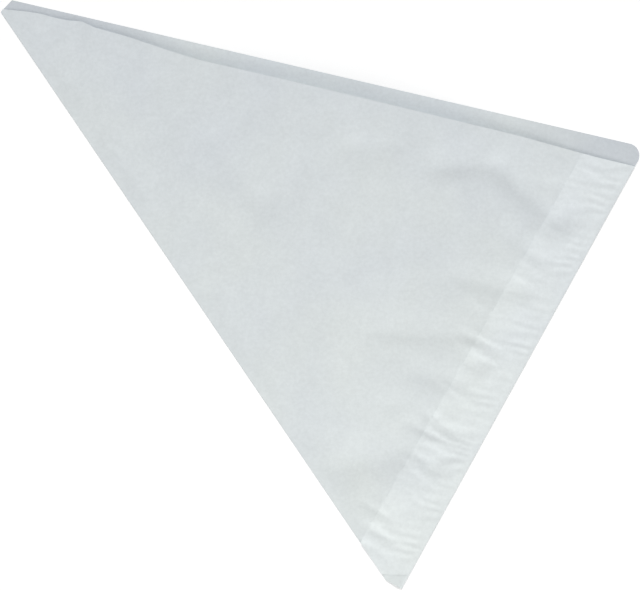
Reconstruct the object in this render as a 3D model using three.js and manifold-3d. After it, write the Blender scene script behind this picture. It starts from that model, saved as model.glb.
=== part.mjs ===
// A disposable piping bag, made from one sheet of greaseproof paper.
// The sheet is folded along the bag's left side, folded again along the seam side on the right,
// and its last strip, the flap, is glued down over the front. The bag lies flat on its back,
// with its mouth open and a little crown in the front wall.
//
// Sizes are in millimetres, and +Z is up. The sheet's own plan has s along the seam from the
// tip, and q from the seam into the bag.
import * as THREE from "three";
import { mergeVertices } from "three/addons/utils/BufferGeometryUtils.js";
import Module from "manifold-3d";

// Outline of the flat bag, before its corners are trimmed
const foldLength = 315.7;
const seamLength = 222.9;
const tipAngle = THREE.MathUtils.degToRad(63.05);

// Trimmed corners
const tipTrim = 3.9;
const cornerCutOnFold = 9.0;
const cornerCutOnMouth = 10.2;
const seamCornerRadius = 5.2;

// Paper, and the space that is left inside a pressed fold
const paper = 0.05;
const foldGap = 0.3;
const tipGlue = 10;

// Glued flap, which narrows towards the mouth
const flapWidthAtTip = 25.6;
const flapWidthAtMouth = 22.4;
const flapEnd = 8;

// The front wall stops short of the back wall by these depths, which leaves the lip
const lipDepths = [
  { fromFoldCorner: 0, depth: 5.2 },
  { fromFoldCorner: 24, depth: 3.0 },
  { fromFoldCorner: 34, depth: 3.4 },
  { fromFoldCorner: 41, depth: 2.2 },
  { fromFoldCorner: 50, depth: 3.7 },
  { fromFoldCorner: 100, depth: 7.2 },
  { fromFoldCorner: 235, depth: 7.8 },
  { fromFoldCorner: 276, depth: 9.1 },
];

// Crown of the front wall, measured at the mouth
const crownHeight = 9;

// Cockles, where the glue has made the paper shrink into small waves
const cocklePitch = 4.6;
const cockleHeight = 0.42;
const cockleLean = THREE.MathUtils.degToRad(17);
const cockleWander = 0.16;
const cockleReach = 9;
const cockleSeamFade = 3;

// Creases in the front wall: s and q of both ends, how far each stands up, and its half width
const creases = [
  { from: [176, 20], to: [181, 60], rise: 1.6, width: 4 },
  { from: [181, 60], to: [155, 88], rise: 1.1, width: 6 },
  { from: [141, 12], to: [129, 52], rise: 1.1, width: 4 },
  { from: [117, 22], to: [94, 62], rise: 0.9, width: 4 },
  { from: [97, 18], to: [90, 40], rise: 0.8, width: 3.5 },
  { from: [79, 22], to: [68, 48], rise: 0.8, width: 4 },
  { from: [72, 14], to: [42, 62], rise: 0.9, width: 5 },
  { from: [38, 22], to: [36, 58], rise: 0.7, width: 5 },
  { from: [156, 243], to: [124, 228], rise: 1.8, width: 5 },
  { from: [158, 118], to: [172, 92], rise: 0.9, width: 7 },
  { from: [118, 128], to: [134, 170], rise: 0.8, width: 9 },
];

// Spacing of the facets
const flapColumns = 6;
const cockleColumns = 2;
const bodyColumnStep = 5.6;
const bodyRowStep = 6;
const leastRow = 0.8;
const flapStep = 0.04;
const bendAngles = [30, 60, 90].map(THREE.MathUtils.degToRad);
const cutMargin = 1;
const cornerFacets = 6;

// Worked out from the sizes above
const bendRadius = foldGap / 2 + paper;
const foldSlope = Math.tan(tipAngle);
const foldCorner = { s: foldLength * Math.cos(tipAngle), q: foldLength * Math.sin(tipAngle) };
const mouthLean = (seamLength - foldCorner.s) / foldCorner.q;
const mouthSlant = Math.hypot(1, mouthLean);
const tipToMouth = seamLength / mouthSlant;
const flapTaper = (flapWidthAtTip - flapWidthAtMouth) / seamLength;
const cockleSlope = Math.tan(cockleLean);
const halfTip = tipAngle / 2;

const { smoothstep } = THREE.MathUtils;

// A point of the sheet's plan in the object's plan, where +Y halves the angle at the tip
function plan(s, q) {
  return new THREE.Vector2(
    s * Math.sin(halfTip) - q * Math.cos(halfTip),
    s * Math.cos(halfTip) + q * Math.sin(halfTip),
  );
}

// How deep the lip is where the front wall ends, at distance q from the seam
function lipDepth(q) {
  const along = (foldCorner.q - q) * mouthSlant;
  const next = lipDepths.findIndex((stop) => stop.fromFoldCorner > along);
  if (next < 0) return lipDepths.at(-1).depth;
  const b = lipDepths[next];
  const a = lipDepths[Math.max(next - 1, 0)];
  const share = smoothstep(along, a.fromFoldCorner, b.fromFoldCorner);
  return THREE.MathUtils.lerp(a.depth, b.depth, share);
}

// The front wall is part of a cone from the tip, flat along both folds
function crown(s, q) {
  const turn = Math.atan2(q, s) / tipAngle;
  const bell = Math.sin(Math.PI * Math.min(Math.max(turn, 0), 1)) ** 2;
  return (crownHeight * bell * Math.hypot(s, q)) / tipToMouth;
}

// A crease is a soft ridge that dies out at its two ends
function creaseRise(crease, s, q) {
  const [startS, startQ] = crease.from;
  const [endS, endQ] = crease.to;
  const length = Math.hypot(endS - startS, endQ - startQ);
  const [alongS, alongQ] = [(endS - startS) / length, (endQ - startQ) / length];
  const along = (s - startS) * alongS + (q - startQ) * alongQ;
  const across = (q - startQ) * alongS - (s - startS) * alongQ;
  const past = Math.max(-along, 0, along - length);
  return crease.rise * Math.exp(-(across ** 2 + past ** 2) / crease.width ** 2);
}

function creasesRise(s, q) {
  const fromFold = s * Math.sin(tipAngle) - q * Math.cos(tipAngle);
  const fade = smoothstep(Math.min(q, fromFold), 0, cockleReach);
  return fade * creases.reduce((sum, crease) => sum + creaseRise(crease, s, q), 0);
}

// Each cockle line has a place along the seam and a height; every second one is a valley
function cockleLine(k) {
  const ridge = k % 2 === 0;
  const strength = (1 + 0.5 * Math.sin(2.4 * k) + 0.5 * Math.sin(0.37 * k + 1)) / 2;
  return {
    place: (cocklePitch / 2) * (k + 2 * cockleWander * Math.sin(1.7 * k)),
    rise: ridge ? cockleHeight * strength : 0,
  };
}

function cockleFade(s, q) {
  const nearSeam = smoothstep(q, 0, cockleSeamFade);
  const pastFlap = 1 - smoothstep(q, flapWidthAtMouth, flapWidthAtTip + cockleReach);
  return nearSeam * pastFlap * smoothstep(s, tipTrim, tipTrim + tipGlue);
}

// Height of the front wall over the pressed fold
function frontRise(s, q) {
  return crown(s, q) + creasesRise(s, q);
}

// A column is a line along the seam's direction. Its q leans with the edge of the flap.
function makeColumn(start, { bend = 1, flap = false, cockled = false } = {}) {
  const inFlap = start <= flapWidthAtTip;
  const share = inFlap
    ? start / flapWidthAtTip
    : (foldCorner.q - start) / (foldCorner.q - flapWidthAtTip);
  const lean = flapTaper * share;
  const low = start / (foldSlope + lean);
  const high = (seamLength - mouthLean * start) / (1 - mouthLean * lean);
  const front = Math.max(high - lipDepth(start - lean * high) * mouthSlant, low + leastRow);
  return { start, lean, low, high, front, half: bendRadius * bend, flap, cockled };
}

const qOn = (column, s) => column.start - column.lean * s;
const alongOn = (column, s) => s + qOn(column, s) * cockleSlope;

// Places of the rows between the fold and the mouth's edge, each with its cockle height
function rowsOf(column) {
  const first = column.low + bendRadius + leastRow;
  const last = column.front - leastRow;
  const rows = [];
  if (column.cockled) {
    const top = Math.ceil((2 * alongOn(column, last)) / cocklePitch) + 2;
    for (let k = 0; k <= top; k++) {
      const line = cockleLine(k);
      const reach = 1 - column.lean * cockleSlope;
      const s = (line.place - column.start * cockleSlope) / reach;
      if (s > first && s < last) rows.push({ s, rise: line.rise * cockleFade(s, qOn(column, s)) });
    }
    return rows;
  }
  const count = Math.max(Math.round((last - first) / bodyRowStep), 0);
  for (let i = 0; i <= count && last > first; i++)
    rows.push({ s: first + ((last - first) * i) / Math.max(count, 1), rise: 0 });
  return rows;
}

// Keys tell which points of two neighbouring columns belong together
const ROWS_KEY = 1000;
const EDGE_KEY = 5000;

function outerColumn(column) {
  const upper = [];
  const lower = [];
  bendAngles.forEach((angle, key) => {
    const inset = bendRadius * (1 - Math.cos(angle) / Math.cos(bendAngles[0]));
    const half = Math.min(bendRadius * Math.sin(angle), column.half);
    const s = column.low + inset;
    upper.push({ s, z: bendRadius + half, key });
    lower.push({ s, z: bendRadius - half, key });
  });
  const layer = (s) => (column.flap && s > flapEnd ? paper : 0);
  const topAt = (s) => bendRadius + column.half + layer(s) + frontRise(s, qOn(column, s));
  for (const { s, rise } of rowsOf(column))
    upper.push({ s, z: topAt(s) + rise, key: ROWS_KEY + alongOn(column, s) });
  const floor = bendRadius - column.half;
  const past = column.high + cutMargin;
  upper.push({ s: column.front, z: topAt(column.front), key: EDGE_KEY });
  upper.push({ s: column.front, z: floor + paper, key: EDGE_KEY + 1 });
  upper.push({ s: past, z: floor + paper, key: EDGE_KEY + 2 });
  lower.push({ s: past, z: floor, key: EDGE_KEY + 2 });
  return { column, upper, lower };
}

// The hollow keeps every point of the front wall, one or two papers lower, and runs out of the mouth
function hollowColumn({ column, upper }) {
  const wall = (s) => paper + (column.flap && s > flapEnd ? paper : 0);
  const inside = upper
    .filter((point) => point.key >= bendAngles.length - 1 && point.key <= EDGE_KEY)
    .filter((point) => point.s > tipGlue)
    .map((point) => ({ ...point, z: point.z - wall(point.s) }));
  if (inside.length < 2) return null;
  const past = column.high + 2 * cutMargin;
  const first = inside[0];
  inside.push({ s: past, z: inside.at(-1).z, key: EDGE_KEY + 1 });
  const floor = [
    { s: first.s, z: paper, key: first.key },
    { s: past, z: paper, key: EDGE_KEY + 1 },
  ];
  return { column, upper: inside, lower: floor };
}

// Triangles between two chains of points, taken in the order of their keys
function zip(index, a, b) {
  let i = 0;
  let j = 0;
  while (i < a.length - 1 || j < b.length - 1) {
    const stepA = j === b.length - 1 || (i < a.length - 1 && a[i + 1].key <= b[j + 1].key);
    if (stepA) index.push(a[i].id, a[++i].id, b[j].id);
    else index.push(a[i].id, b[j + 1].id, b[j++].id);
  }
}

// A closed body through columns that each have an upper and a lower chain
function loft(columns) {
  const positions = [];
  const index = [];
  const place = (column, chain) =>
    chain.map(({ s, z, key }) => {
      const { x, y } = plan(s, qOn(column, s));
      positions.push(x, y, z);
      return { id: positions.length / 3 - 1, key };
    });
  const placed = columns.map(({ column, upper, lower }) => ({
    upper: place(column, upper),
    lower: place(column, lower),
  }));
  placed.slice(1).forEach((next, i) => {
    const last = placed[i];
    zip(index, last.upper, next.upper);
    zip(index, next.lower, last.lower);
    zip(index, [last.lower.at(-1), next.lower.at(-1)], [last.upper.at(-1), next.upper.at(-1)]);
    zip(index, [last.upper[0], next.upper[0]], [last.lower[0], next.lower[0]]);
  });
  zip(index, placed[0].lower, placed[0].upper);
  zip(index, placed.at(-1).upper, placed.at(-1).lower);
  return new THREE.BufferGeometry()
    .setAttribute("position", new THREE.Float32BufferAttribute(positions, 3))
    .setIndex(index);
}

// Columns from the seam to just past the cut of the fold's corner
function bagColumns() {
  const seamBend = bendAngles.map((angle) =>
    makeColumn(bendRadius * (1 - Math.cos(angle) / Math.cos(bendAngles[0])), {
      bend: Math.sin(angle),
      flap: true,
      cockled: true,
    }),
  );
  const flapCount = Array.from({ length: flapColumns }, (_, i) => (i + 1) / flapColumns);
  const flap = flapCount.map((share) =>
    makeColumn(THREE.MathUtils.lerp(bendRadius, flapWidthAtTip, share), {
      flap: true,
      cockled: true,
    }),
  );
  const beside = [makeColumn(flapWidthAtTip + flapStep, { cockled: true })];
  for (let i = 1; i <= cockleColumns; i++)
    beside.push(
      makeColumn(flapWidthAtTip + (cockleReach * i) / cockleColumns, { cockled: i < cockleColumns }),
    );
  const bodyStart = flapWidthAtTip + cockleReach;
  const bodyEnd = foldCorner.q - cornerCutOnFold * Math.sin(tipAngle) + cutMargin;
  const count = Math.max(Math.round((bodyEnd - bodyStart) / bodyColumnStep), 1);
  const body = [];
  for (let i = 1; i <= count; i++)
    body.push(makeColumn(THREE.MathUtils.lerp(bodyStart, bodyEnd, i / count)));
  return [...seamBend, ...flap, ...beside, ...body];
}

// Prism over the trimmed sheet, left wide on both folds, which it doesn't cut
function trimPrism() {
  const cutOnFold = {
    s: (foldLength - cornerCutOnFold) * Math.cos(tipAngle),
    q: (foldLength - cornerCutOnFold) * Math.sin(tipAngle),
  };
  const cutOnMouth = {
    s: foldCorner.s + (cornerCutOnMouth * mouthLean) / mouthSlant,
    q: foldCorner.q - cornerCutOnMouth / mouthSlant,
  };
  const cutLength = Math.hypot(cutOnFold.s - cutOnMouth.s, cutOnFold.q - cutOnMouth.q);
  const stretch = 1 + (3 * cutMargin) / cutLength;
  const cutEnd = {
    s: THREE.MathUtils.lerp(cutOnMouth.s, cutOnFold.s, stretch),
    q: THREE.MathUtils.lerp(cutOnMouth.q, cutOnFold.q, stretch),
  };
  const roundS = seamLength - seamCornerRadius * (mouthLean + mouthSlant);
  const centre = plan(roundS, seamCornerRadius);
  const mouthFacing = Math.PI / 2 - halfTip + Math.atan(mouthLean);
  const seamFacing = -halfTip;

  const shape = new THREE.Shape();
  const lineTo = (s, q) => shape.lineTo(plan(s, q).x, plan(s, q).y);
  shape.moveTo(plan(tipTrim, -cutMargin).x, plan(tipTrim, -cutMargin).y);
  lineTo(tipTrim, tipTrim * foldSlope + 2 * cutMargin);
  lineTo(cutEnd.s, cutEnd.q);
  lineTo(cutOnMouth.s, cutOnMouth.q);
  shape.absarc(centre.x, centre.y, seamCornerRadius, mouthFacing, seamFacing, true);
  lineTo(roundS, -cutMargin);
  shape.closePath();

  const height = 4 * crownHeight + 2 * cutMargin;
  const prism = new THREE.ExtrudeGeometry(shape, {
    depth: height,
    bevelEnabled: false,
    curveSegments: cornerFacets,
  });
  return prism.translate(0, 0, -cutMargin);
}

const wasm = await Module();
wasm.setup();

function solidOf(geometry) {
  const bare = geometry.clone();
  bare.deleteAttribute("normal");
  bare.deleteAttribute("uv");
  const merged = mergeVertices(bare);
  return new wasm.Manifold(
    new wasm.Mesh({
      numProp: 3,
      vertProperties: new Float32Array(merged.attributes.position.array),
      triVerts: new Uint32Array(merged.index.array),
    }),
  );
}

function geometryOf(solid) {
  const { vertProperties, triVerts } = solid.getMesh();
  return new THREE.BufferGeometry()
    .setAttribute("position", new THREE.BufferAttribute(vertProperties, 3))
    .setIndex(new THREE.BufferAttribute(triVerts, 1));
}

// The folded sheet, standing on the middle of its own box
function bagGeometry() {
  const columns = bagColumns().map(outerColumn);
  const hollows = columns
    .filter(({ column }) => column.half === bendRadius)
    .map(hollowColumn)
    .filter((hollow) => hollow);
  const whole = solidOf(loft(columns)).intersect(solidOf(trimPrism()));
  const geometry = geometryOf(whole.subtract(solidOf(loft(hollows))));
  geometry.computeBoundingBox();
  const { min, max } = geometry.boundingBox;
  geometry.translate(-(min.x + max.x) / 2, -(min.y + max.y) / 2, -min.z);
  geometry.computeVertexNormals();
  return geometry;
}

const greaseproof = new THREE.MeshStandardMaterial({
  color: 0xd7dddd,
  roughness: 0.55,
  metalness: 0,
  side: THREE.DoubleSide,
});

const bag = new THREE.Mesh(bagGeometry(), greaseproof);
bag.name = "paper_bag";

const group = new THREE.Group();
group.add(bag);

export default group;
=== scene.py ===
# A disposable piping bag in greaseproof paper, cut, folded and glued as the real one is.
# The sheet's plan has s along the seam from the tip, and q from the seam into the bag.
import math

import bmesh
import bpy
import numpy as np
from bpy.props import FloatProperty, FloatVectorProperty, PointerProperty
from mathutils import Matrix, Vector, noise


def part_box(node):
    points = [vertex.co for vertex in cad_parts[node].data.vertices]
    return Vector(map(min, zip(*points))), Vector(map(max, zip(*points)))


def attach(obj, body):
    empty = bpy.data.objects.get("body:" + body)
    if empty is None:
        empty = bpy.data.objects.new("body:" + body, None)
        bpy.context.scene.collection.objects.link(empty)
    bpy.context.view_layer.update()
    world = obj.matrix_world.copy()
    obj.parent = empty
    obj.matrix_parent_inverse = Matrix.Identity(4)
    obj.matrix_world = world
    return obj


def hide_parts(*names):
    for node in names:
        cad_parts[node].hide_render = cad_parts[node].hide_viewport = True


bl_info = {
    "name": "Piping Bag",
    "version": (1, 0, 0),
    "blender": (4, 5, 0),
    "location": "3D View > Sidebar > Piping Bag",
    "description": "Folds and glues a greaseproof paper piping bag and lays it on a pale floor",
    "category": "Add Mesh",
}

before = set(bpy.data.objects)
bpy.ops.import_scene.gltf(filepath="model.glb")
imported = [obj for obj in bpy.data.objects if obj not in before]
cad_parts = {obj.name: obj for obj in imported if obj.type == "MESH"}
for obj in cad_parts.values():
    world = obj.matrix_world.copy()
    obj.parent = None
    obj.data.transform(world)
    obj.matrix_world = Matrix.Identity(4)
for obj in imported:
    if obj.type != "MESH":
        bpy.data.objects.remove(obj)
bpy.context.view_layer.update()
BAG_NODE = "paper_bag"
BAG_LOW, BAG_HIGH = (Vector(corner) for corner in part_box(BAG_NODE))

MM = 0.001
PHOTO_WIDTH = 640
BACK, FRONT, FLAP = range(3)

# How deep the lip is, in millimetres, at distances along the mouth from the fold's corner
LIP_DEPTHS = ((0, 5.2), (24, 3.0), (34, 3.4), (41, 2.2), (50, 3.7), (100, 7.2), (235, 7.8), (276, 9.1))

# Creases of the front wall, in millimetres: s and q of both ends, height, and the half widths
# of the slope towards the mouth and the slope towards the tip. The last is a pinch beside the fold.
CREASES = (
    ((175, 13), (184, 54), 2.2, 10, 5.4),
    ((187, 50), (169, 78), 1.1, 10, 5.2),
    ((157, 14), (161, 36), 0.7, 6, 3.2),
    ((143, 12), (133, 46), 0.8, 6, 4.0),
    ((117, 20), (95, 66), 0.6, 9, 3.5),
    ((96, 18), (88, 42), 0.8, 6, 4.0),
    ((80, 18), (70, 46), 0.7, 6, 4.0),
    ((70, 34), (75, 8), 1.1, 3.2, 7.0),
    ((62, 26), (65, 6), 0.8, 3.0, 6.0),
    ((61, 25), (35, 51), 1.7, 12, 9.0),
    ((158, 116), (172, 92), 0.6, 6, 7.0),
    ((120, 128), (136, 172), 0.7, 9, 7.0),
    ((156, 244), (122, 227), 0.55, 3.5, 4.5),
)

# Creases are a little sharper than a bell curve, and die out from inside their ends to past them
CREASE_SHARPNESS = 1.7
CREASE_PAST, CREASE_INSIDE = 6, 7

# Creases, sways and crumples fade out within this distance of a fold, in millimetres
FOLD_FADE = 8

# The flap's lower end, as s and q of two points in millimetres
FLAP_END = ((10.8, 0.0), (5.3, 10.5))

# Past the flap's end, this much of it goes on to the tip round the seam's bend
BEND_STRIP = 0.9 * MM

# Lines cut beside each fold, in radii of its bend, so that the paper turns round smoothly
BEND_LINES = (-2, -1, -0.4, 0, 0.4, 1, 2)

# Straight cuts that round the lip's corner over the seam
CORNER_CUTS = 7

# How far round itself a cut along the mouth reaches, in millimetres
STATION_REACH, LIP_REACH, CORNER_REACH = 5, 12, 15

# Cockles of the glued flap, in millimetres
COCKLE_LEANS = math.radians(17), math.radians(-5)
FINE_PITCH, FINE_RISE = 4.3, 0.3
BROAD_PITCH, BROAD_RISE, BROAD_SKEW = 9.4, 0.95, 0.35

# Depth below the mouth, in millimetres, down to which the back wall has the tone of the lip. A lip
# is one paper, plus painted light, strongest where the crown is highest, for the glow through the raised
# front.
LIP_TONE = 12
# Painted light on the lip, in papers: at the crown's full height, and at most
LIP_PAINTED_LIGHT, MOST_PAINTED_LIGHT = 2.0, 1.7

# Stage: the photograph's pixel in millimetres, its middle as s and q, and its roll in degrees
PHOTO_PIXEL = 0.43415
PHOTO_MIDDLE = (98.27, 92.56)
PHOTO_ROLL = 2.61
CAMERA_HEIGHT = 1.5
FLOOR_SIZE = 4
FLOOR_DROP = 0.05 * MM
FLOOR_GLOW = 0.18
ROOM_LIGHT = 0.47

# Two lamps: a window beyond the mouth, and a small one by the tip, in metres
WINDOW_TURN, WINDOW_HEIGHT, WINDOW_SOFTNESS = (math.radians(angle) for angle in (190, 33, 22))
WINDOW_STRENGTH = 1.85
TIP_LAMP_PLACE, TIP_LAMP_AIM = Vector((0.12, -0.45, 0.5)), Vector((0.02, -0.13, 0))
TIP_LAMP_SIZE, TIP_LAMP_POWER = 0.5, 0.95


def linear(hex_colour):
    """A linear colour from an sRGB hex value such as #D7DDDD."""
    channels = [int(hex_colour[i:i + 2], 16) / 255 for i in (1, 3, 5)]
    return [c / 12.92 if c <= 0.04045 else ((c + 0.055) / 1.055) ** 2.4 for c in channels]


def length(name, description, millimetres):
    return FloatProperty(name=name, description=description, default=millimetres * MM, unit="LENGTH",
                         precision=5)


def colour(name, description, hex_colour):
    return FloatVectorProperty(name=name, description=description, default=linear(hex_colour),
                               subtype="COLOR", size=3, min=0, max=1)


class PipingBagSizes(bpy.types.PropertyGroup):
    fold_length: length("Fold side", "Length of the folded side, before its corner is cut", 315.7)
    seam_length: length("Seam side", "Length of the glued side, before its corner is rounded", 222.9)
    tip_angle: FloatProperty(name="Tip angle", description="Angle between the two sides",
                             default=math.radians(63.05), subtype="ANGLE")
    tip_trim: length("Tip trim", "How much of the sharp tip is cut off", 3.9)
    cut_on_fold: length("Corner cut, fold", "Length of the corner cut along the fold", 9.0)
    cut_on_mouth: length("Corner cut, mouth", "Length of the corner cut along the mouth", 10.2)
    corner_radius: length("Corner radius", "Radius of the lip's corner over the seam", 5.2)
    paper: length("Paper", "Thickness of the paper", 0.05)
    fold_gap: length("Fold gap", "Space inside a pressed fold", 0.3)
    flap_at_tip: length("Flap at tip", "Width of the glued flap at the tip", 25.6)
    flap_at_mouth: length("Flap at mouth", "Width of the glued flap at the mouth", 22.4)
    flap_lift: length("Flap lift", "Height of the flap over the front wall", 0.11)
    under_flap: length("Edge under flap", "How far the front's hidden edge stops from the seam", 0.5)
    crown_height: length("Crown", "Height of the front wall at the mouth", 9.0)
    cell: length("Cell", "Side of a cell of the sheet's grid, before it is subdivided", 2.5)


class PipingBagColours(bpy.types.PropertyGroup):
    one_paper: colour("One paper", "The lip, a single paper", "#D1D6D9")
    two_papers: colour("Two papers", "The two walls of the body", "#E4E9E9")
    three_papers: colour("Three papers", "Both walls and the flap", "#EBF0F0")
    floor: colour("Floor", "The pale floor", "#FAFAFA")


def sheet_axes(sizes):
    """The virtual tip, and the ways of s and q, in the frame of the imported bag."""
    half = sizes.tip_angle / 2
    along = Vector((math.sin(half), math.cos(half)))
    into = Vector((-math.cos(half), math.sin(half)))
    cut = sizes.fold_length - sizes.cut_on_fold
    left = cut * (math.cos(sizes.tip_angle) * along + math.sin(sizes.tip_angle) * into)
    tip = Vector((BAG_LOW.x - left.x, BAG_LOW.y - sizes.tip_trim * along.y))
    return tip, along, into


def place(sizes, s, q):
    tip, along, into = sheet_axes(sizes)
    return (tip + s * along + q * into).to_3d()


def sheet_places(sizes, points):
    """Arrays of s and q for an array of points."""
    tip, along, into = sheet_axes(sizes)
    flat = points[:, :2] - np.array(tip)
    return flat @ np.array(along), flat @ np.array(into)


def smoothstep(value, low, high):
    """A smooth rise from 0 at low to 1 at high."""
    share = np.clip((value - low) / (high - low), 0, 1)
    return share * share * (3 - 2 * share)


def flap_width(sizes, s):
    return sizes.flap_at_tip + (sizes.flap_at_mouth - sizes.flap_at_tip) * s / sizes.seam_length


def mouth_lean(sizes):
    """How much s is lost along the mouth for each unit of q."""
    corner_s = sizes.fold_length * math.cos(sizes.tip_angle)
    corner_q = sizes.fold_length * math.sin(sizes.tip_angle)
    return (sizes.seam_length - corner_s) / corner_q


def past_fold(sizes, s, q):
    """How far a place lies beyond the line of the fold."""
    return q * math.cos(sizes.tip_angle) - s * math.sin(sizes.tip_angle)


def start_edit(obj):
    bpy.ops.object.select_all(action="DESELECT")
    obj.select_set(True)
    bpy.context.view_layer.objects.active = obj
    bpy.ops.object.mode_set(mode="EDIT")
    bpy.ops.mesh.select_mode(type="FACE")
    bpy.ops.mesh.select_all(action="SELECT")


def wall_layer(bm):
    return bm.faces.layers.int.get("wall") or bm.faces.layers.int.new("wall")


def select_walls(obj, walls):
    """Selects the faces of the given walls, in edit mode."""
    bm = bmesh.from_edit_mesh(obj.data)
    layer = wall_layer(bm)
    for face in bm.faces:
        face.select_set(face[layer] in walls)
    bm.select_flush(False)
    bmesh.update_edit_mesh(obj.data)


def cut_line(start, end):
    """Bisects what is selected along a line."""
    way = end - start
    bpy.ops.mesh.bisect(plane_co=start, plane_no=(way.y, -way.x, 0), threshold=1e-7)


def mirror_in_fold(sizes, s, q):
    """The place in the flat blank of a point of the folded front wall."""
    turn = 2 * sizes.tip_angle
    return s * math.cos(turn) + q * math.sin(turn), s * math.sin(turn) - q * math.cos(turn)


def add_grid(sizes):
    """A grid over the whole flat blank."""
    seam, fold, angle = sizes.seam_length, sizes.fold_length, sizes.tip_angle
    ends = [(0, 0), (seam, 0), (fold * math.cos(angle), fold * math.sin(angle)),
            mirror_in_fold(sizes, seam, 0), (0, -sizes.flap_at_tip), (seam, -sizes.flap_at_mouth)]
    corners = [place(sizes, s, q) for s, q in ends]
    low = Vector((min(c.x for c in corners), min(c.y for c in corners), 0))
    high = Vector((max(c.x for c in corners), max(c.y for c in corners), 0))
    span = high - low + 4 * sizes.cell * Vector((1, 1, 0))
    bpy.ops.mesh.primitive_grid_add(
        x_subdivisions=round(span.x / sizes.cell),
        y_subdivisions=round(span.y / sizes.cell),
        size=1,
        location=(0, 0, 0),
    )
    bag = bpy.context.object
    bag.name = bag.data.name = "greaseproof_bag"
    start_edit(bag)
    bpy.ops.transform.resize(value=(span.x, span.y, 1), center_override=(0, 0, 0))
    bpy.ops.transform.translate(value=(low + high) / 2)
    return bag


def crease_lines(sizes):
    """The two folds, each as a pair of far points on its line."""
    far = 1.5 * sizes.fold_length
    angle = sizes.tip_angle
    fold = (place(sizes, -far * math.cos(angle), -far * math.sin(angle)),
            place(sizes, far * math.cos(angle), far * math.sin(angle)))
    seam = (place(sizes, -far, 0), place(sizes, far, 0))
    return fold, seam


def bend_radius(sizes):
    return sizes.fold_gap / 2 + sizes.paper


def flat_places(bag, sizes):
    """Each face of the bag in edit mode, with s and q of its middle."""
    bm = bmesh.from_edit_mesh(bag.data)
    tip, along, into = sheet_axes(sizes)
    for face in bm.faces:
        flat = face.calc_center_median().to_2d() - tip
        yield face, flat.dot(along), flat.dot(into)


def name_walls(bag, sizes):
    """Deletes what lies outside the blank, and notes on each face which wall it becomes."""
    layer = wall_layer(bmesh.from_edit_mesh(bag.data))
    for face, s, q in flat_places(bag, sizes):
        if q < 0:
            face[layer] = FLAP
            inside = s > 0 and -q < flap_width(sizes, s)
        elif past_fold(sizes, s, q) > 0:
            face[layer] = FRONT
            inside = mirror_in_fold(sizes, s, q)[1] > sizes.under_flap
        else:
            face[layer] = BACK
            inside = True
        face.select_set(not inside)
    bmesh.update_edit_mesh(bag.data)
    bpy.ops.mesh.delete(type="FACE")


def cut_blank(sizes):
    """The flat sheet, with its grid cut along the folds and along the edges under the glue."""
    bag = add_grid(sizes)
    seam = sizes.seam_length
    radius = bend_radius(sizes)
    for start, end in crease_lines(sizes):
        side = (end - start).cross(Vector((0, 0, 1))).normalized()
        for share in BEND_LINES:
            bpy.ops.mesh.select_all(action="SELECT")
            cut_line(start + share * radius * side, end + share * radius * side)
    hidden = [place(sizes, *mirror_in_fold(sizes, s, sizes.under_flap)) for s in (-seam, 2 * seam)]
    edge = [place(sizes, s, -flap_width(sizes, s)) for s in (-seam, 2 * seam)]
    for start, end in (hidden, edge):
        bpy.ops.mesh.select_all(action="SELECT")
        cut_line(start, end)
    name_walls(bag, sizes)
    select_walls(bag, (FRONT, FLAP))
    bpy.ops.mesh.subdivide(number_cuts=1)
    select_walls(bag, (FLAP,))
    bpy.ops.mesh.subdivide(number_cuts=1)
    return bag


def turn_over(way, centre):
    """Turns what is selected half round about a line in the plan."""
    x_axis = way.normalized()
    y_axis = Vector((0, 0, 1)).cross(x_axis)
    matrix = Matrix((x_axis, y_axis, (0, 0, 1))).transposed()
    bpy.ops.transform.rotate(
        value=math.pi,
        orient_axis="X",
        orient_type="GLOBAL",
        orient_matrix=matrix,
        orient_matrix_type="GLOBAL",
        constraint_axis=(True, False, False),
        center_override=centre,
    )


def fold_blank(bag, sizes):
    """Folds the front over the back, and the flap over the front."""
    fold, seam = crease_lines(sizes)
    for walls, (start, end) in (((FRONT,), fold), ((FLAP,), seam)):
        select_walls(bag, walls)
        turn_over(end - start, start)


def mouth_frame(sizes):
    """The fold's corner of the mouth, and the ways along the mouth and down into the bag."""
    tip, along, into = sheet_axes(sizes)
    lean = mouth_lean(sizes)
    slant = math.hypot(1, lean)
    corner = tip + sizes.fold_length * (
        math.cos(sizes.tip_angle) * along + math.sin(sizes.tip_angle) * into
    )
    return corner, (lean * along - into) / slant, -(along + lean * into) / slant


def mouth_place(sizes, along, depth):
    corner, way, down = mouth_frame(sizes)
    return (corner + along * way + depth * down).to_3d()


def on_mouth(mouth, point):
    """How far along the mouth a place is from the fold's corner, and how deep below it."""
    corner, way, down = mouth
    flat = point.to_2d() - corner
    return flat.dot(way), flat.dot(down)


def lip_stations():
    """Distances along the mouth, in millimetres, between which the lip's edge is cut straight.

    They are close together by the fold, where the edge waves, and the last one lies past the seam.
    """
    return [*range(0, 110, 6), *range(112, 300, 18), 999]


def smooth_lip_depth(along):
    """Depth of the lip's edge, in millimetres, on a smooth curve through the listed depths."""
    for (start, first), (end, last) in zip(LIP_DEPTHS, LIP_DEPTHS[1:]):
        if along < end:
            return first + (last - first) * float(smoothstep(max(along, start), start, end))
    return LIP_DEPTHS[-1][1]


def lip_depth(along):
    """Depth of the lip's edge, in millimetres, straight from one station to the next."""
    first = max(station for station in lip_stations() if station <= max(along, 0))
    last = min(station for station in lip_stations() if station > first)
    start, end = smooth_lip_depth(first), smooth_lip_depth(last)
    return start + (end - start) * (along - first) / (last - first)


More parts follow.
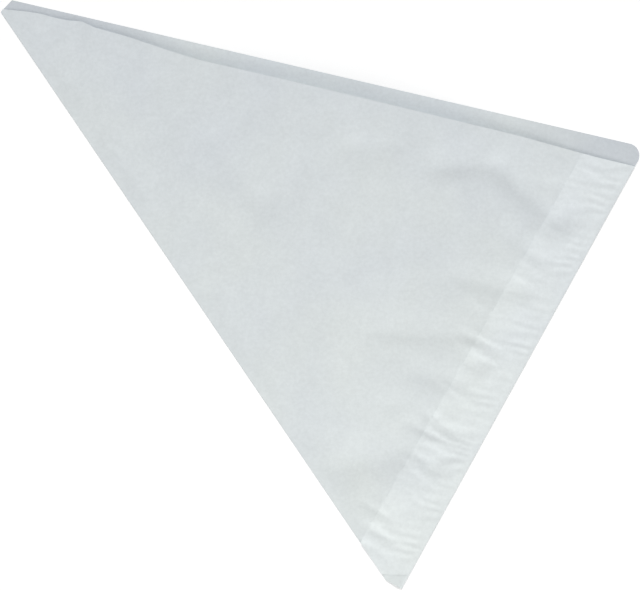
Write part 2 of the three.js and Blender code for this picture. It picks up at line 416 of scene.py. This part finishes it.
def select_near_mouth(bag, sizes, walls, first, last, reach):
    """Selects the faces of the walls between two distances along the mouth, within a reach."""
    bm = bmesh.from_edit_mesh(bag.data)
    layer = wall_layer(bm)
    mouth = mouth_frame(sizes)
    for face in bm.faces:
        chosen = face[layer] in walls
        if chosen:
            along, depth = on_mouth(mouth, face.calc_center_median())
            chosen = first < along < last and abs(depth) < reach
        face.select_set(chosen)
    bmesh.update_edit_mesh(bag.data)


def cut_lip(bag, sizes):
    """Cuts the front wall and the flap along the lip's wavy edge."""
    walls, reach = (FRONT, FLAP), LIP_REACH * MM
    stations = lip_stations()[:-1]
    for along in stations:
        first, last = along - STATION_REACH, along + STATION_REACH
        select_near_mouth(bag, sizes, walls, first * MM, last * MM, reach)
        cut_line(*(mouth_place(sizes, along * MM, depth) for depth in (-reach, reach)))
    for first, last in zip(stations, stations[1:]):
        select_near_mouth(bag, sizes, walls, first * MM, last * MM, reach)
        cut_line(*(mouth_place(sizes, a * MM, lip_depth(a) * MM) for a in (first, last)))


def corner_arc(sizes):
    """Centre of the rounded corner over the seam, and the ways out to its straight cuts."""
    radius, lean = sizes.corner_radius, mouth_lean(sizes)
    centre = place(sizes, sizes.seam_length - radius * (lean + math.hypot(1, lean)), radius)
    to_seam = -sizes.tip_angle / 2
    to_mouth = math.pi / 2 + to_seam + math.atan(lean)
    angles = [to_seam + (to_mouth - to_seam) * i / CORNER_CUTS for i in range(CORNER_CUTS + 1)]
    return centre, [Vector((math.cos(angle), math.sin(angle), 0)) for angle in angles]


def cut_corner_arc(bag, sizes):
    centre, ways = corner_arc(sizes)
    mouth_length = (place(sizes, sizes.seam_length, 0).to_2d() - mouth_frame(sizes)[0]).length
    reach = CORNER_REACH * MM
    for out in ways[1:-1]:
        side = Vector((-out.y, out.x, 0))
        select_near_mouth(bag, sizes, (BACK,), mouth_length - reach, mouth_length + MM, reach)
        start = centre + sizes.corner_radius * out
        cut_line(start, start + side)


def left_of(line, point):
    start, end = line
    return (end - start).to_2d().cross((point - start).to_2d()) > 0


class Trimming:
    """The folded sheet's edges, each worked out once. What lies left of a line is cut off."""

    def __init__(self, sizes):
        share = 1 - sizes.cut_on_fold / sizes.fold_length
        across = sizes.fold_length * math.sin(sizes.tip_angle)
        up = sizes.fold_length * math.cos(sizes.tip_angle)
        mouth = [mouth_place(sizes, along, 0) for along in (0, sizes.fold_length)]
        corner = place(sizes, up * share, across * share), mouth_place(sizes, sizes.cut_on_mouth, 0)
        tip = [place(sizes, sizes.tip_trim, q) for q in (0, sizes.flap_at_tip)]
        self.through_all = mouth, corner, tip
        self.flap_end = [place(sizes, s * MM, q * MM) for s, q in FLAP_END]
        self.fold = [place(sizes, up * part, across * part) for part in (0, 1)]
        self.bend = [place(sizes, s, BEND_STRIP) for s in (0, sizes.seam_length)]
        self.mouth = mouth_frame(sizes)
        self.radius = sizes.corner_radius
        self.arc_centre, self.arc_ways = corner_arc(sizes)

    def keeps(self, wall, point):
        if any(left_of(line, point) for line in self.through_all):
            return False
        if wall == BACK:
            out = point - self.arc_centre
            if self.arc_ways[0].cross(out).z < 0 or out.cross(self.arc_ways[-1]).z < 0:
                return True
            return all(out.dot(way) < self.radius for way in self.arc_ways)
        along, depth = on_mouth(self.mouth, point)
        if depth < lip_depth(along / MM) * MM:
            return False
        in_bend = not left_of(self.bend, point)
        ended = left_of(self.flap_end, point) and not in_bend
        return wall == FRONT or not (left_of(self.fold, point) or ended)


def trim_edges(bag, sizes):
    """Cuts every edge of the folded sheet as a line, then deletes what lies outside."""
    trimming = Trimming(sizes)
    for line in trimming.through_all:
        bpy.ops.mesh.select_all(action="SELECT")
        cut_line(*line)
    for line in (trimming.flap_end, trimming.fold, trimming.bend):
        select_walls(bag, (FLAP,))
        cut_line(*line)
    cut_lip(bag, sizes)
    cut_corner_arc(bag, sizes)
    bm = bmesh.from_edit_mesh(bag.data)
    layer = wall_layer(bm)
    for face in bm.faces:
        face.select_set(not trimming.keeps(face[layer], face.calc_center_median()))
    bmesh.update_edit_mesh(bag.data)
    bpy.ops.mesh.delete(type="FACE")


def field(s, q, size_s, size_q, seed):
    """Smooth noise over the sheet, from -1 to 1, with the sizes of its lumps in millimetres."""
    places = zip((s / size_s).tolist(), (q / size_q).tolist())
    return np.array([noise.noise((x, y, seed)) for x, y in places])


def ridge(s, q, start, end, rise, to_mouth, to_tip):
    """A crease along a line, with a different slope on each of its sides."""
    way = np.array(end, float) - start
    span = np.hypot(*way)
    way /= span
    from_start = np.stack((s - start[0], q - start[1]), axis=1)
    along = from_start @ way
    across = (q - start[1]) * way[0] - (s - start[0]) * way[1]
    mouth_side = across * -math.copysign(1, way[1]) > 0
    width = np.where(mouth_side, to_mouth, to_tip)
    fade = smoothstep(np.minimum(along, span - along), -CREASE_PAST, CREASE_INSIDE)
    return rise * fade * np.exp(-np.abs(across / width) ** CREASE_SHARPNESS)


def crown(sizes, s, q):
    """The front wall is part of a cone from the tip, flat along both folds."""
    turn = np.clip(np.arctan2(q, s) / sizes.tip_angle, 0, 1)
    tip_to_mouth = sizes.seam_length / math.hypot(1, mouth_lean(sizes))
    return sizes.crown_height * np.sin(math.pi * turn) ** 2 * np.hypot(s, q) / tip_to_mouth


def cockles(s, q):
    """Waves across the glued flap: fine ones by the seam, and broader pillows by the flap's edge."""
    fine_lean, broad_lean = (np.tan(lean) for lean in COCKLE_LEANS)
    wander = field(s, q, 14, 45, 3.1) + 0.5 * field(s, q, 6, 30, 8.4)
    fine = 0.5 + 0.5 * np.cos(2 * math.pi * ((s + q * fine_lean) / FINE_PITCH + 0.9 * wander))
    turn = 2 * math.pi * ((s + q * broad_lean) / BROAD_PITCH + 0.8 * wander)
    broad = 0.5 + 0.5 * np.cos(turn - BROAD_SKEW * np.cos(turn))

    # Each kind comes and goes along the flap, and dies out past the flap's edge
    fine *= np.clip(0.55 + 0.9 * field(s, q, 9, 16, 5.7), 0, 1)
    broad *= np.clip(0.35 + 1.3 * field(s, q, 13, 14, 12.2), 0, 1)
    by_edge = smoothstep(q, 6, 15)
    fine *= 1 - smoothstep(q, 22, 30)
    broad *= 1 - smoothstep(q, 23, 40)

    # The pillows are lower towards the mouth, and the seam's bend and the tip stay pressed flat
    fine_rise = FINE_RISE * (1 - 0.7 * by_edge) * fine
    broad_rise = BROAD_RISE * by_edge * broad * (1 - 0.55 * smoothstep(s, 95, 150))
    return (fine_rise + broad_rise) * smoothstep(q, 0.2, 2.5) * smoothstep(s, 6, 16)


def front_rise(sizes, s, q):
    """Height of the front wall over the pressed fold, in millimetres, for s and q in millimetres."""
    from_fold = -past_fold(sizes, s, q)
    rise = crown(sizes, s * MM, q * MM) / MM
    fade = smoothstep(np.minimum(q, from_fold), 0, FOLD_FADE)
    creases = sum(ridge(s, q, *crease) for crease in CREASES)

    # The paper sways a little between the creases, and is finely crumpled from handling
    sway = 0.35 * field(s, q, 38, 30, 1.3) + 0.12 * field(s, q, 15, 11, 4.2)
    crumple = 0.035 * field(s, q, 5, 4, 9.9)
    return rise + fade * (creases + sway + crumple + 0.4) + cockles(s, q)


def vertex_walls(mesh):
    """The wall that each vertex belongs to. Where two walls meet, it is the upper one."""
    face_walls = np.empty(len(mesh.polygons), dtype=np.int32)
    mesh.attributes["wall"].data.foreach_get("value", face_walls)
    corners = np.empty(len(mesh.loops), dtype=np.int32)
    mesh.loops.foreach_get("vertex_index", corners)
    totals = np.empty(len(mesh.polygons), dtype=np.int32)
    mesh.polygons.foreach_get("loop_total", totals)
    walls = np.zeros(len(mesh.vertices), dtype=np.int32)
    np.maximum.at(walls, corners, np.repeat(face_walls, totals))
    return walls


def wall_heights(sizes, walls, s, q, rise):
    """Heights in millimetres. Each wall leaves its pressed fold over a few radii of the bend."""
    radius, paper = bend_radius(sizes) / MM, sizes.paper / MM
    from_fold = -past_fold(sizes, s, q)

    def bend(distance):
        share = np.clip(distance / radius, 0, 1)
        return (radius - paper / 2) * np.sqrt(1 - (1 - share) ** 2)

    open_share = smoothstep(from_fold, radius, 4 * radius)
    front = radius + bend(from_fold) + open_share * rise
    lift = smoothstep(q, 0, 6 * radius)
    flap = radius + bend(q) + lift * (sizes.flap_lift / MM + rise)
    back = radius - bend(np.minimum(from_fold, q))
    return np.choose(walls, (back, front, flap))


def papers_and_painted_lip_light(sizes, walls, s, q, rise):
    """As how many papers each place shows: 3 at the flap, 2 on the body, and on the lip one paper plus
    painted light, up to 2.7 where the crown is highest.
    """
    lean = mouth_lean(sizes)
    from_mouth = (sizes.seam_length / MM - s - lean * q) / math.hypot(1, lean)
    in_flap = q < flap_width(sizes, s * MM) / MM
    papers = np.where(in_flap & (s > FLAP_END[0][0]), 3.0, 2.0)
    papers = np.where(walls == FLAP, 3.0, papers)
    # Painted light on the lip grows with the crown's height, for the glow through the raised front
    painted_light = LIP_PAINTED_LIGHT * rise / (sizes.crown_height / MM)
    on_lip = (walls == BACK) & (from_mouth < LIP_TONE)
    return np.where(on_lip, 1 + np.clip(painted_light, 0, MOST_PAINTED_LIGHT), papers)


def raise_walls(bag, sizes):
    """Gives every vertex its height, and notes how many papers lie on each other there, with painted
    light added on the lip.
    """
    mesh = bag.data
    points = np.empty(len(mesh.vertices) * 3)
    mesh.vertices.foreach_get("co", points)
    points = points.reshape(-1, 3)
    walls = vertex_walls(mesh)
    s, q = (distance / MM for distance in sheet_places(sizes, points))
    rise = front_rise(sizes, s, q)
    points[:, 2] = wall_heights(sizes, walls, s, q, rise) * MM
    mesh.vertices.foreach_set("co", points.ravel())
    # The papers attribute also holds the lip's painted light
    papers = mesh.attributes.new("papers", "FLOAT", "POINT")
    papers.data.foreach_set("value", papers_and_painted_lip_light(sizes, walls, s, q, rise))
    mesh.update()


def give_thickness(bag, sizes):
    wall = bag.modifiers.new("Paper", "SOLIDIFY")
    wall.thickness = sizes.paper
    wall.offset = 0
    bpy.ops.object.modifier_apply(modifier=wall.name)
    bpy.ops.object.shade_smooth_by_angle(angle=math.radians(35))


def add_node(tree, kind, links=None, **settings):
    """A node with its settings; links gives a value or another node's socket for each input."""
    node = tree.nodes.new(kind)
    for name, value in settings.items():
        setattr(node, name, value)
    for name, value in (links or {}).items():
        if isinstance(value, bpy.types.NodeSocket):
            tree.links.new(value, node.inputs[name])
        else:
            node.inputs[name].default_value = value
    return node


def new_material(name):
    material = bpy.data.materials.new(name)
    material.use_nodes = True
    material.node_tree.nodes.clear()
    return material, material.node_tree


def mix(tree, factor, a, b, blend="MIX"):
    """A colour mix; its inputs are named by place, because the node has one set for each type."""
    node = add_node(tree, "ShaderNodeMix", data_type="RGBA", blend_type=blend)
    for socket, value in ((0, factor), (6, a), (7, b)):
        if isinstance(value, bpy.types.NodeSocket):
            tree.links.new(value, node.inputs[socket])
        else:
            node.inputs[socket].default_value = value
    return node.outputs[2]


def spots(tree, size, detail=2.0, roughness=0.5):
    """Noise whose lumps have a size in millimetres."""
    where = add_node(tree, "ShaderNodeTexCoord")
    links = {"Vector": where.outputs["Object"], "Scale": 1 / (size * MM), "Detail": detail,
             "Roughness": roughness}
    return add_node(tree, "ShaderNodeTexNoise", links).outputs["Fac"]


def remap(tree, value, low, high, to_low, to_high):
    links = {"Value": value, "From Min": low, "From Max": high, "To Min": to_low, "To Max": to_high}
    return add_node(tree, "ShaderNodeMapRange", links).outputs["Result"]


def greaseproof_paper(colours):
    """Greaseproof paper, beaten and calendered: cloudy and half clear, so more papers look whiter."""
    material, tree = new_material("calendered_greaseproof_paper")
    # The papers attribute holds the count of papers, and on the lip painted light over that count
    papers = add_node(tree, "ShaderNodeAttribute", attribute_name="papers").outputs["Fac"]
    one, two, three = (
        (*group, 1) for group in (colours.one_paper, colours.two_papers, colours.three_papers)
    )
    tone = mix(tree, remap(tree, papers, 1, 2, 0, 1), one, two)
    tone = mix(tree, remap(tree, papers, 2, 3, 0, 1), tone, three)

    # Pulp clouds a few centimetres wide drift between a bluer and a greener white, bluer by the mouth
    spot = add_node(tree, "ShaderNodeSeparateXYZ",
                    {"Vector": add_node(tree, "ShaderNodeTexCoord").outputs["Object"]})
    from_mouth = remap(tree, spot.outputs["Y"], BAG_LOW.y, BAG_HIGH.y, 0.7, -0.2)
    pulp = remap(tree, spots(tree, 45, 3), 0.35, 0.65, 0, 1)
    drift = add_node(tree, "ShaderNodeMath", {0: pulp, 1: 0.5, 2: from_mouth},
                     operation="MULTIPLY_ADD").outputs[0]
    tint = mix(tree, drift, (*linear("#F8F9FD"), 1), (*linear("#FEFFFE"), 1))
    tone = mix(tree, 1.0, tone, tint, "MULTIPLY")

    # Fibre clumps 1.6 mm wide and clouds 9 mm wide, drawn as coarse as they show from above
    fibre = remap(tree, spots(tree, 1.6, 3, 0.6), 0.3, 0.7, 0.965, 1.035)
    cloud = remap(tree, spots(tree, 9, 4, 0.6), 0.3, 0.7, 0.98, 1.02)
    shade = add_node(tree, "ShaderNodeMath", {0: fibre, 1: cloud}, operation="MULTIPLY").outputs[0]
    grey = add_node(tree, "ShaderNodeCombineColor", {"Red": shade, "Green": shade, "Blue": shade})
    tone = mix(tree, 1.0, tone, grey.outputs[0], "MULTIPLY")

    # Calendering leaves a very low tooth, and a dull gloss that is a little uneven
    bump = add_node(tree, "ShaderNodeBump",
                    {"Height": spots(tree, 1.1, 4, 0.65), "Strength": 0.35, "Distance": 0.06 * MM})
    gloss = remap(tree, spots(tree, 6, 3), 0.3, 0.7, 0.52, 0.64)
    shader = add_node(tree, "ShaderNodeBsdfPrincipled",
                      {"Base Color": tone, "Roughness": gloss, "Normal": bump.outputs[0],
                       "Specular IOR Level": 0.3})
    add_node(tree, "ShaderNodeOutputMaterial", {"Surface": shader.outputs[0]})
    return material


def pale_floor(colours):
    """A matt floor that the camera sees as white, and that still takes the bag's shadow."""
    material, tree = new_material("matt_pale_floor")
    matt = add_node(tree, "ShaderNodeBsdfDiffuse", {"Color": (*colours.floor, 1)})
    ray = add_node(tree, "ShaderNodeLightPath")
    seen = add_node(tree, "ShaderNodeMath", {0: ray.outputs["Is Camera Ray"],
                                             1: ray.outputs["Is Glossy Ray"]}, operation="MAXIMUM")
    seen = add_node(tree, "ShaderNodeMath", {0: seen.outputs[0],
                                             1: ray.outputs["Is Transmission Ray"]}, operation="MAXIMUM")
    strength = add_node(tree, "ShaderNodeMath", {0: seen.outputs[0], 1: FLOOR_GLOW},
                        operation="MULTIPLY")
    glow = add_node(tree, "ShaderNodeEmission", {"Strength": strength.outputs[0]})
    both = add_node(tree, "ShaderNodeAddShader", {0: matt.outputs[0], 1: glow.outputs[0]})
    add_node(tree, "ShaderNodeOutputMaterial", {"Surface": both.outputs[0]})
    return material


class PIPINGBAG_OT_bag(bpy.types.Operator):
    """Cut, fold and glue the paper bag"""

    bl_idname = "mesh.piping_bag_paper"
    bl_label = "Paper Bag"

    def execute(self, context):
        sizes = context.scene.piping_bag_sizes
        bag = cut_blank(sizes)
        fold_blank(bag, sizes)
        trim_edges(bag, sizes)
        bpy.ops.object.mode_set(mode="OBJECT")
        raise_walls(bag, sizes)
        give_thickness(bag, sizes)
        bag.data.materials.append(greaseproof_paper(context.scene.piping_bag_colours))
        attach(bag, "root")
        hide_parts(BAG_NODE)
        return {"FINISHED"}


class PIPINGBAG_OT_stage(bpy.types.Operator):
    """Lay out the pale floor, the soft light and the camera over the bag"""

    bl_idname = "scene.piping_bag_stage"
    bl_label = "Floor, Light and Camera"

    def execute(self, context):
        bpy.ops.object.select_all(action="DESELECT")
        bpy.ops.mesh.primitive_plane_add(size=FLOOR_SIZE, location=(0, 0, -FLOOR_DROP))
        floor = context.object
        floor.name = floor.data.name = "pale_floor"
        bpy.ops.object.transform_apply(location=True, rotation=False, scale=False)
        floor.data.materials.append(pale_floor(context.scene.piping_bag_colours))

        bpy.ops.object.light_add(type="SUN", location=(0, 0, 1))
        window = context.object
        window.name = window.data.name = "window"
        window.data.energy = WINDOW_STRENGTH
        window.data.angle = WINDOW_SOFTNESS
        window.rotation_euler = (math.pi / 2 - WINDOW_HEIGHT, 0, WINDOW_TURN)

        bpy.ops.object.light_add(type="AREA", location=TIP_LAMP_PLACE)
        lamp = context.object
        lamp.name = lamp.data.name = "tip_lamp"
        lamp.data.size = TIP_LAMP_SIZE
        lamp.data.energy = TIP_LAMP_POWER
        lamp.rotation_euler = (TIP_LAMP_AIM - TIP_LAMP_PLACE).to_track_quat("-Z", "Y").to_euler()

        world = bpy.data.worlds.new("soft_room")
        context.scene.world = world
        world.use_nodes = True
        world.node_tree.nodes["Background"].inputs["Color"].default_value = (1, 1, 1, 1)
        world.node_tree.nodes["Background"].inputs["Strength"].default_value = ROOM_LIGHT

        sizes = context.scene.piping_bag_sizes
        middle = place(sizes, PHOTO_MIDDLE[0] * MM, PHOTO_MIDDLE[1] * MM)
        bpy.ops.object.camera_add(location=middle + Vector((0, 0, CAMERA_HEIGHT)))
        camera = context.object
        camera.rotation_euler = (0, 0, -math.radians(PHOTO_ROLL))
        camera.data.sensor_fit = "HORIZONTAL"
        camera.data.lens = camera.data.sensor_width * CAMERA_HEIGHT / (PHOTO_WIDTH * PHOTO_PIXEL * MM)
        camera.data.clip_end = 10
        context.scene.camera = camera
        context.scene.view_settings.view_transform = "Standard"
        return {"FINISHED"}


class PIPINGBAG_PT_panel(bpy.types.Panel):
    """Sizes, colours and buttons of the piping bag"""

    bl_label = "Piping Bag"
    bl_idname = "PIPINGBAG_PT_panel"
    bl_space_type = "VIEW_3D"
    bl_region_type = "UI"
    bl_category = "Piping Bag"

    def draw(self, context):
        layout = self.layout
        for group in (context.scene.piping_bag_sizes, context.scene.piping_bag_colours):
            box = layout.box()
            for name in group.__annotations__:
                box.prop(group, name)
        layout.operator(PIPINGBAG_OT_bag.bl_idname)
        layout.operator(PIPINGBAG_OT_stage.bl_idname)


CLASSES = (
    PipingBagSizes,
    PipingBagColours,
    PIPINGBAG_OT_bag,
    PIPINGBAG_OT_stage,
    PIPINGBAG_PT_panel,
)


def register():
    for cls in CLASSES:
        bpy.utils.register_class(cls)
    bpy.types.Scene.piping_bag_sizes = PointerProperty(type=PipingBagSizes)
    bpy.types.Scene.piping_bag_colours = PointerProperty(type=PipingBagColours)


def unregister():
    del bpy.types.Scene.piping_bag_colours
    del bpy.types.Scene.piping_bag_sizes
    for cls in reversed(CLASSES):
        bpy.utils.unregister_class(cls)


def main():
    register()
    bpy.ops.object.select_all(action="DESELECT")
    bpy.ops.mesh.piping_bag_paper()
    bpy.ops.scene.piping_bag_stage()


if __name__ == "__main__":
    main()
